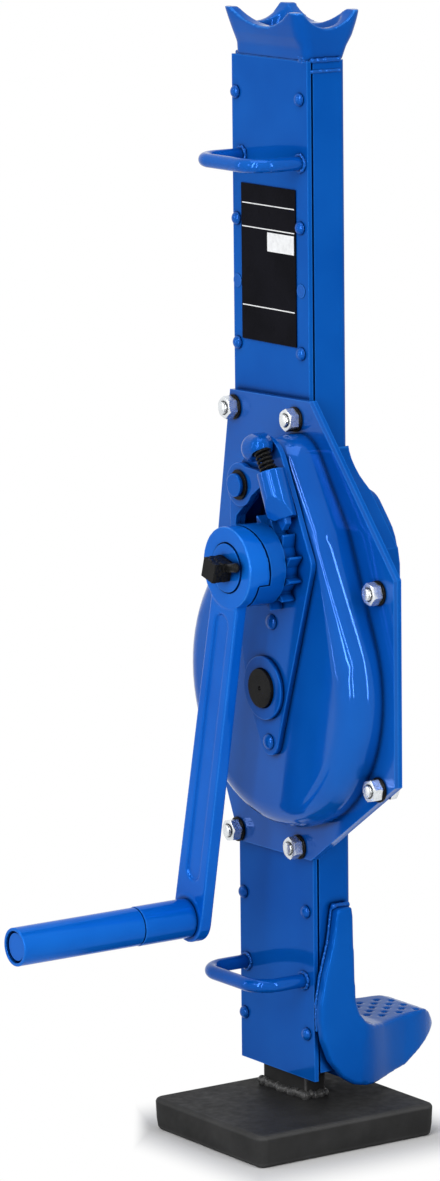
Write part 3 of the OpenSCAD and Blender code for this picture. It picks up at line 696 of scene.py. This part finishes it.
class JACK_OT_stage(bpy.types.Operator):
    """Sets up the floor, the white room, the lamps and the camera"""

    bl_idname = "jack.stage"
    bl_label = "Stage"

    def execute(self, context):
        stage = context.scene.jack_stage
        foot_low, foot_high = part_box("base_plate")
        middle = (foot_low + foot_high) / 2
        middle.z = foot_low.z
        self.floor(stage.floor, middle, foot_high - foot_low)
        self.room(context.scene, stage)
        self.lamps(stage, middle)
        self.camera(context.scene, stage, middle)
        context.scene.view_settings.view_transform = "Standard"
        return {"FINISHED"}

    def floor(self, radius, middle, foot):
        """A pale floor that shades to white away from the foot."""
        form = bmesh.new()
        bmesh.ops.create_circle(form, cap_ends=True, segments=96, radius=radius)
        floor = bpy.data.objects.new("floor", mesh_from("floor", form))
        bpy.context.scene.collection.objects.link(floor)
        floor.location = middle
        n = Nodes("pale_floor")
        pale = n.mix(n.noise(3.0), (0.65, 0.65, 0.65), (0.67, 0.67, 0.67))
        n.set(Base_Color=pale, Roughness=0.7, Specular_IOR_Level=0.0)
        glow = n.add("ShaderNodeEmission")
        glow.inputs["Color"].default_value = (1, 1, 1, 1)
        glow.inputs["Strength"].default_value = 1.0
        blend = n.add("ShaderNodeMixShader")
        n.link(n.maths("MULTIPLY", seen_rays(n.tree), self.away(n, foot)), blend.inputs[0])
        n.link(n.shader.outputs[0], blend.inputs[1])
        n.link(glow.outputs[0], blend.inputs[2])
        n.link(blend.outputs[0], n.out.inputs["Surface"])
        floor.data.materials.append(n.material)

    @staticmethod
    def away(n, foot):
        """0 under the foot and 1 where its soft shadow ends, which is soonest past two of its corners."""
        apart = n.add("ShaderNodeSeparateXYZ")
        n.link(n.place, apart.inputs[0])
        x, y = apart.outputs[0], apart.outputs[1]
        corner_way = math.radians(55.7)
        way_x, way_y = math.cos(corner_way), math.sin(corner_way)
        across = n.maths("ADD", n.maths("MULTIPLY", x, way_x), n.maths("MULTIPLY", y, way_y))
        corner = (way_x * foot.x + way_y * foot.y) / 2
        far = 0.0
        for along, half, fade in (
                (x, foot.x / 2, 60 * MM), (y, foot.y / 2, 42 * MM), (across, corner, 13 * MM)):
            past = n.maths("SUBTRACT", n.maths("ABSOLUTE", along, 0.0), half)
            far = n.maths("MAXIMUM", n.maths("DIVIDE", past, fade), far)
        soft = n.add("ShaderNodeMapRange", interpolation_type="SMOOTHSTEP")
        n.link(far, soft.inputs["Value"])
        return soft.outputs["Result"]

    @staticmethod
    def room(scene, stage):
        """An even light, seen as plain white."""
        world = scene.world or bpy.data.worlds.new("room")
        scene.world = world
        world.use_nodes = True
        tree = world.node_tree
        tree.nodes.clear()
        blend = tree.nodes.new("ShaderNodeMixShader")
        tree.links.new(seen_rays(tree), blend.inputs[0])
        for socket, strength in ((blend.inputs[1], stage.sky), (blend.inputs[2], 1.0)):
            background = tree.nodes.new("ShaderNodeBackground")
            background.inputs["Color"].default_value = (1, 1, 1, 1)
            background.inputs["Strength"].default_value = strength
            tree.links.new(background.outputs[0], socket)
        tree.links.new(blend.outputs[0], tree.nodes.new("ShaderNodeOutputWorld").inputs[0])

    @staticmethod
    def lamps(stage, middle):
        """Each lamp by its direction, distance, width, height and power."""
        aim = middle + Vector((0, 0, 0.36))
        for name, towards, distance, width, height, power in (
            ("key_softbox", (0.25, -1.0, 0.45), 2.4, 0.40, 0.55, stage.key),
            ("right_strip", (1.0, 0.12, 0.3), 2.3, 0.13, 2.2, stage.strips * 0.9),
            ("front_strip", (0.52, -1.0, 0.42), 2.4, 0.15, 3.4, stage.strips * 1.7),
            ("second_front_strip", (0.90, -1.0, 0.42), 2.4, 0.07, 3.4, stage.strips),
            ("left_strip", (-0.55, -1.0, 0.3), 2.4, 0.08, 2.0, stage.strips * 0.4),
            ("overhead", (0.1, -0.1, 1.0), 2.2, 1.4, 1.4, stage.top),
        ):
            lamp = bpy.data.lights.new(name, "AREA")
            lamp.shape, lamp.size, lamp.size_y, lamp.energy = "RECTANGLE", width, height, power
            body = bpy.data.objects.new(name, lamp)
            bpy.context.scene.collection.objects.link(body)
            away = Vector(towards).normalized()
            body.location = aim + away * distance
            body.rotation_euler = away.to_track_quat("Z", "Y").to_euler()

    @staticmethod
    def camera(scene, stage, middle):
        across = Vector((-math.sin(stage.around), math.cos(stage.around), 0.0))
        away = Vector((math.cos(stage.around), math.sin(stage.around), 0.0))
        ahead = -away * math.cos(stage.down) - Vector((0, 0, math.sin(stage.down)))
        upward = -away * math.sin(stage.down) + Vector((0, 0, math.cos(stage.down)))
        right = across * math.cos(stage.roll) - upward * math.sin(stage.roll)
        above = across * math.sin(stage.roll) + upward * math.cos(stage.roll)
        camera = bpy.data.objects.new("camera", bpy.data.cameras.new("camera"))
        scene.collection.objects.link(camera)
        turn = Matrix((right, above, -ahead)).transposed()
        place = middle + Vector(stage.look_at) - ahead * stage.distance
        camera.matrix_world = Matrix.Translation(place) @ turn.to_4x4()
        camera.data.lens = stage.lens
        camera.data.shift_x, camera.data.shift_y = stage.shift
        camera.data.clip_start, camera.data.clip_end = 0.1, 100.0
        scene.camera = camera


class JACK_OT_foot(bpy.types.Operator):
    """Paints the base plate and the rack, and lays the rough bead round the bar's foot"""

    bl_idname = "jack.foot"
    bl_label = "Foot and Rack"

    def execute(self, context):
        dress(finish("black_satin_paint"), "base_plate", "rack_bar")
        low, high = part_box("foot_weld")
        inset, z = 4.6 * MM, low.z + 1.2 * MM
        x0, x1, y0, y1 = low.x + inset, high.x - inset, low.y + inset, high.y - inset
        chance, form = random.Random(3), bmesh.new()
        bead(form, [(x0, y0, z), (x1, y0, z), (x1, y1, z), (x0, y1, z), (x0, y0, z)], 2.7 * MM, chance,
             pitch=0.9, rough=0.45, flat=0.8)
        for x in (x0, x0 + 5 * MM, x1 - 9 * MM, x1 - 3 * MM):  # runs over the front seam
            coin(form, Vector((x, y0 - 0.6 * MM, z + 1.4 * MM)), (1, 0, 0), 3.2 * MM, 0.9)
        for y in (y0 + 4 * MM, y0 + 9 * MM, y1 - 5 * MM):  # runs over the right seam
            coin(form, Vector((x1 + 0.4 * MM, y, z + chance.uniform(0, 2) * MM)), (0, 1, 0), 2.9 * MM, 0.9)
        wet = finish("black_paint_on_weld")
        weld("foot_bead", form, wet, "foot", "black_paint", "foot_weld", voxel=0.6 * MM)
        return {"FINISHED"}


class JACK_OT_column(bpy.types.Operator):
    """Paints the column, its front plate and its rivets, and welds the grips on"""

    bl_idname = "jack.column"
    bl_label = "Column"

    def execute(self, context):
        dress(finish("blue_paint_on_plates"), "column_channel", "front_plate")
        dress(finish("blue_paint_on_fittings"), "guide_plugs", "upper_grip", "lower_grip")
        dress(finish("oiled_steel"), *(f"guide_{level}_{side}" for level in ("upper", "lower")
                                       for side in ("left", "right")))
        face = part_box("front_plate")[0].y
        rivets("domed_rivets", "guide_rivets", face, 2.0 * MM)
        chance, form, sides = random.Random(11), bmesh.new(), 14
        for grip in ("upper_grip", "lower_grip"):
            low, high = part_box(grip)
            rod = (high.z - low.z) / 2
            for x in (low.x + rod, high.x - rod):
                end = Vector((x, face - 0.2 * MM, low.z + rod))
                ring = round_y(end, end.y, 1.08 * rod, sides)
                bead(form, [*ring, ring[0]], 1.5 * MM, chance, pitch=0.8, rough=0.35)
        weld("grip_beads", form, finish("blue_paint_on_weld"), "housing", "blue_paint", voxel=0.45 * MM)
        return {"FINISHED"}


class JACK_OT_label(bpy.types.Operator):
    """Lays on the bare label plate with its dividing lines and blank panel"""

    bl_idname = "jack.label"
    bl_label = "Label Plate"

    def execute(self, context):
        dress(finish("label_gloss_film"), "label_plate", round_by=0.2 * MM)
        low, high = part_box("label_plate")
        front, back, edge, half_line = low.y - 0.04 * MM, low.y + 0.02 * MM, 1.2 * MM, 0.35 * MM
        form = bmesh.new()
        for down in (12.4, 27.6, 78.0):
            z = high.z - down * MM
            slab(form, (low.x + edge, front, z - half_line), (high.x - edge, back, z + half_line))
        panel_left, panel_right = low.x + 29 * MM, high.x - 1.6 * MM
        panel_low, panel_high = high.z - 41.5 * MM, high.z - 29.4 * MM
        slab(form, (panel_left, front, panel_low), (panel_right, back, panel_high))
        put("label_lines", form, finish("label_print"), "housing", "label_film", smooth=False)
        return {"FINISHED"}


class JACK_OT_crown(bpy.types.Operator):
    """Casts the crown with rounded horns and lays its weld"""

    bl_idname = "jack.crown"
    bl_label = "Crown"

    def execute(self, context):
        casting("head_crown", "housing", finish("blue_paint_on_casting"), 0.9 * MM, 4, 26000)
        low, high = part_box("column_channel")
        face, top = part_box("front_plate")[0].y, high.z
        left, right = low.x + 4 * MM, high.x - 1.5 * MM
        chance, form = random.Random(5), bmesh.new()
        y, z = face + 1.5 * MM, top - 0.1 * MM
        bead(form, [(left, y, z), (right, y, z)], 1.2 * MM, chance, pitch=0.6, rough=0.12)
        y, z = high.y - 0.8 * MM, top + 0.3 * MM
        bead(form, [(left, y, z), (right - 5 * MM, y, z)], 1.5 * MM, chance, pitch=0.9, rough=0.25)
        for x in (high.x - 0.5 * MM, low.x + 0.5 * MM):
            for z, size in ((top + 0.6 * MM, 1.7 * MM), (top - 6.2 * MM, 1.4 * MM)):
                ends = [(x, face + 4 * MM, z), (x, high.y - 5 * MM, z)]
                bead(form, ends, size, chance, pitch=0.55, rough=0.16)
        for _ in range(9):  # spatter on the front corner
            x, z = chance.uniform(right - 9 * MM, right), top + chance.uniform(-1, 4) * MM
            coin(form, Vector((x, face + 0.6 * MM, z)), (0, 1, 0), chance.uniform(0.7, 1.3) * MM, 0.8)
        weld("crown_bead", form, finish("blue_paint_on_weld"), "housing", "blue_paint", "crown_weld",
             voxel=0.45 * MM, faces=14000)
        return {"FINISHED"}


class JACK_OT_toe(bpy.types.Operator):
    """Casts the toe with its worn nose and lays its welds"""

    bl_idname = "jack.toe"
    bl_label = "Toe"

    def execute(self, context):
        low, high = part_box("toe")
        platform, centre = low.z + 37.1 * MM, (low.x + high.x) / 2
        nose_length, nose_taper = 36 * MM, 0.38
        tip_length, tip_taper = 28 * MM, 0.2

        def dimples(place):
            """Keeps the platform's dimples from closing."""
            x, y, z = place.T
            inner = (z > platform - 3 * MM) & (z < platform + 0.2 * MM) & (np.abs(x - centre) < 25 * MM)
            inner &= (y > low.y + 58 * MM) & (y < low.y + 108 * MM)
            return np.where(inner, 0.12, 1.0)

        def fold(place):
            """Rounds only where the flat cheek turns into the nose, under the platform."""
            _, y, z = place.T
            along = rise(y, 29.5 * MM, 34.5 * MM) * rise(y, 72 * MM, 52 * MM)
            return along * rise(z, platform - 4 * MM, platform - 10 * MM) * rise(z, 34 * MM, 40 * MM)

        toe = casting("toe", "housing", finish("blue_paint_on_toe"), 0.9 * MM, 18, 42000, dimples)
        relax(toe.data, 220, fold)
        place = points_of(toe.data)
        x, y, z = place.T
        nose, tip = (rise(y, high.y - length, high.y) for length in (nose_length, tip_length))
        z[:] = np.where(z < platform, platform - (platform - z) * (1 - nose_taper * nose), z)
        x[:] = centre + (x - centre) * (1 - tip_taper * tip * tip)
        move_points(toe.data, place)
        self.seams(low.y, high.z)
        return {"FINISHED"}

    @staticmethod
    def seams(back, top):
        """One bead down the right cheek and one over each cheek's top."""
        side_low, side_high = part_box("column_channel")
        chance, form = random.Random(8), bmesh.new()
        cheek = ((13.4, 0.0), (9.9, -23.0), (4.0, -43.4), (0.9, -61.8), (1.5, -80.0))
        line = [(side_high.x + 1.6 * MM, back + y * MM, top + z * MM) for y, z in cheek]
        bead(form, line, 1.25 * MM, chance, pitch=0.5, rough=0.2)
        for x in (side_high.x + 2.6 * MM, side_low.x - 2.6 * MM):
            over = [(x, back + y * MM, top + 0.4 * MM) for y in (13.5, 25.0)]
            bead(form, over, 2.2 * MM, chance, pitch=0.5, rough=0.25)
        weld("toe_bead", form, finish("blue_paint_on_weld"), "housing", "blue_paint", "toe_weld",
             voxel=0.5 * MM, faces=12000)


class JACK_OT_gear_case(bpy.types.Operator):
    """Paints the gear case, its cover and the bearing plates"""

    bl_idname = "jack.gear_case"
    bl_label = "Gear Case"

    def execute(self, context):
        dress(finish("blue_paint_on_plates"), "gear_case")
        dress(finish("blue_paint_on_cover"), "gear_cover")
        gloss = finish("blue_gloss_paint")
        dress(gloss, "wheel_bush_front")
        dress(gloss, "bearing_plate", "rear_bearing_plate", round_by=1.1 * MM, segments=3)
        rivets("domed_plate_rivets", "bearing_plate_rivets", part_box("bearing_plate")[0].y, 2.5 * MM)
        return {"FINISHED"}


class JACK_OT_fixings(bpy.types.Operator):
    """Turns the zinc-plated bolts and nuts, and the washers, whose dark steel paints the shade round each
    nut
    """

    bl_idname = "jack.fixings"
    bl_label = "Bolts and Nuts"

    def execute(self, context):
        chance = random.Random(21)

        def run_up_nut(form, low, high):
            nut(form, low, high, turn=chance.uniform(-0.5, 0.5))

        for name, node, turned, material in (
                ("threaded_bolts", "cover_bolts", bolt, "bright_zinc"),
                # painted shade: the washers take the dark oiled steel so that they read as the shade round
                # each nut
                ("pressed_washers", "cover_washers", washer, "oiled_steel"),
                ("chamfered_nuts", "cover_nuts", run_up_nut, "bright_zinc")):
            form = bmesh.new()
            for low, high in lumps_of(node):
                turned(form, low, high)
            crisp(put(name, form, finish(material), "housing", "zinc_plate", node))
        return {"FINISHED"}


class JACK_OT_pawl(bpy.types.Operator):
    """Casts the pawl and its spring seat, winds the spring and fits the pin and clip"""

    bl_idname = "jack.pawl"
    bl_label = "Pawl"

    def execute(self, context):
        dress(finish("blue_gloss_paint"), "pawl_pin")
        dress(finish("oiled_steel"), "pawl_clip", round_by=0.2 * MM)
        casting("pawl", "pawl", finish("blue_paint_on_fittings"), 0.4 * MM, 3, 22000)
        casting("spring_seat", "housing", finish("blue_paint_on_casting"), 0.5 * MM, 8, 9000)
        self.spring()
        return {"FINISHED"}

    @staticmethod
    def spring():
        """A leaning coil with closed ends between its seat on the housing and the pawl's plunger."""
        lean, length, coil, wire = math.radians(32), 17.6 * MM, 4.5 * MM, 0.95 * MM
        turns, closed, steps = 7.0, 0.7, 150
        axis = Vector((-math.sin(lean), 0.0, math.cos(lean)))
        foot = middle_of("pawl_spring") - axis * length / 2
        side = axis.orthogonal().normalized()
        over = axis.cross(side)
        points = []
        for i in range(steps + 1):
            turn = turns * i / steps
            live = float(rise(turn, closed, turns - closed))
            a = math.tau * turn
            points.append(foot + axis * (wire + (length - 2 * wire) * live)
                          + coil * (math.cos(a) * side + math.sin(a) * over))
        form = bmesh.new()
        tube(form, points, wire, sides=12)
        piece = put("coil_spring", form, finish("oiled_steel"), None, "dark_steel", "pawl_spring")
        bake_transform(piece)


class JACK_OT_gear_train(bpy.types.Operator):
    """Finishes the shafts, wheels, bushes and key"""

    bl_idname = "jack.gear_train"
    bl_label = "Gear Train"

    def execute(self, context):
        dress(finish("oiled_steel"), "wheel_shaft", "gear_wheel", "wheel_key", "crank_shaft", "end_pin",
              "wheel_bush_rear", "crank_bush_front", "crank_bush_rear", round_by=0.3 * MM)
        dress(finish("blue_gloss_paint"), "ratchet_wheel", "brake_disc")
        self.scale()
        return {"FINISHED"}

    @staticmethod
    def scale():
        """Burnt black scale on the forged square and the cross pin."""
        axis, front, back = middle_of("hub_ring"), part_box("crank_shaft")[0].y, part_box("hub_ring")[0].y
        form, half = bmesh.new(), 6.5 * MM
        turn = Matrix.Rotation(math.radians(16), 4, "Y")
        for vert in slab(form, (-half, front + 0.15 * MM, -half), (half, back - 0.3 * MM, half)):
            vert.co = Vector((axis.x, 0, axis.z)) + turn @ vert.co
        pin_low, pin_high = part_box("end_pin")
        middle, slope, lumps = (pin_low + pin_high) / 2, math.tan(math.radians(10)), 6
        reach = (pin_high.x - pin_low.x) / 2 - 0.6 * MM
        for k in range(-lumps, lumps + 1):
            x = reach * k / lumps
            at = Vector((middle.x + x, middle.y - 0.2 * MM, middle.z + slope * x))
            coin(form, at, (1, 0, slope), 3.1 * MM, 0.9)
        skin = relax(remeshed(mesh_from("rough_scale", form), 0.35 * MM), 3)
        per_metre, swell_by, sunk = 420.0, 0.42 * MM, 0.05 * MM
        for vert in skin.vertices:
            swell = noise.fractal(vert.co * per_metre, 0.8, 2.1, 3)
            vert.co += vert.normal * (swell_by * swell - sunk)
            vert.co.y = max(vert.co.y, front + 0.02 * MM)
        thinned(put_mesh("burnt_scale", skin, finish("oiled_steel"), "crank", "dark_steel"), 9000)


class JACK_OT_crank(bpy.types.Operator):
    """Paints the crank arm, its hub and its turning handle"""

    bl_idname = "jack.crank"
    bl_label = "Crank"

    def execute(self, context):
        dress(finish("blue_paint_on_crank"), "hub_ring", "handle_collar", "handle_pin", "handle_sleeve")
        hub = middle_of("hub_ring")

        def near_hub(place):
            """Keeps the arm's eye close to the hub ring."""
            apart = np.hypot(place[:, 0] - hub.x, place[:, 2] - hub.z)
            return np.where(apart < 27.5 * MM, 0.35, 1.0)

        casting("crank_arm", "crank", finish("blue_paint_on_arm"), 0.65 * MM, 5, 46000, near_hub)
        return {"FINISHED"}


class JACK_PT_panel(bpy.types.Panel):
    bl_label = "Jack"
    bl_space_type = "VIEW_3D"
    bl_region_type = "UI"
    bl_category = "Jack"

    def draw(self, context):
        for group in (context.scene.jack_finish, context.scene.jack_stage):
            column = self.layout.column()
            for key in group.bl_rna.properties.keys():
                if key not in ("rna_type", "name"):
                    column.prop(group, key)
        for operator in OPERATORS:
            self.layout.operator(operator.bl_idname)


OPERATORS = (
    JACK_OT_foot, JACK_OT_column, JACK_OT_label, JACK_OT_crown, JACK_OT_toe, JACK_OT_gear_case,
    JACK_OT_fixings, JACK_OT_pawl, JACK_OT_gear_train, JACK_OT_crank, JACK_OT_stage,
)
CLASSES = (JackFinish, JackStage, *OPERATORS, JACK_PT_panel)


def register():
    for made in CLASSES:
        bpy.utils.register_class(made)
    bpy.types.Scene.jack_finish = bpy.props.PointerProperty(type=JackFinish)
    bpy.types.Scene.jack_stage = bpy.props.PointerProperty(type=JackStage)


def unregister():
    del bpy.types.Scene.jack_stage
    del bpy.types.Scene.jack_finish
    for made in reversed(CLASSES):
        bpy.utils.unregister_class(made)


def main():
    register()
    for old in [o for o in bpy.context.scene.objects if o.type in ("LIGHT", "CAMERA")]:
        bpy.data.objects.remove(old)
    for operator in OPERATORS:
        group, name = operator.bl_idname.split(".")
        getattr(getattr(bpy.ops, group), name)()


if __name__ == "__main__":
    main()
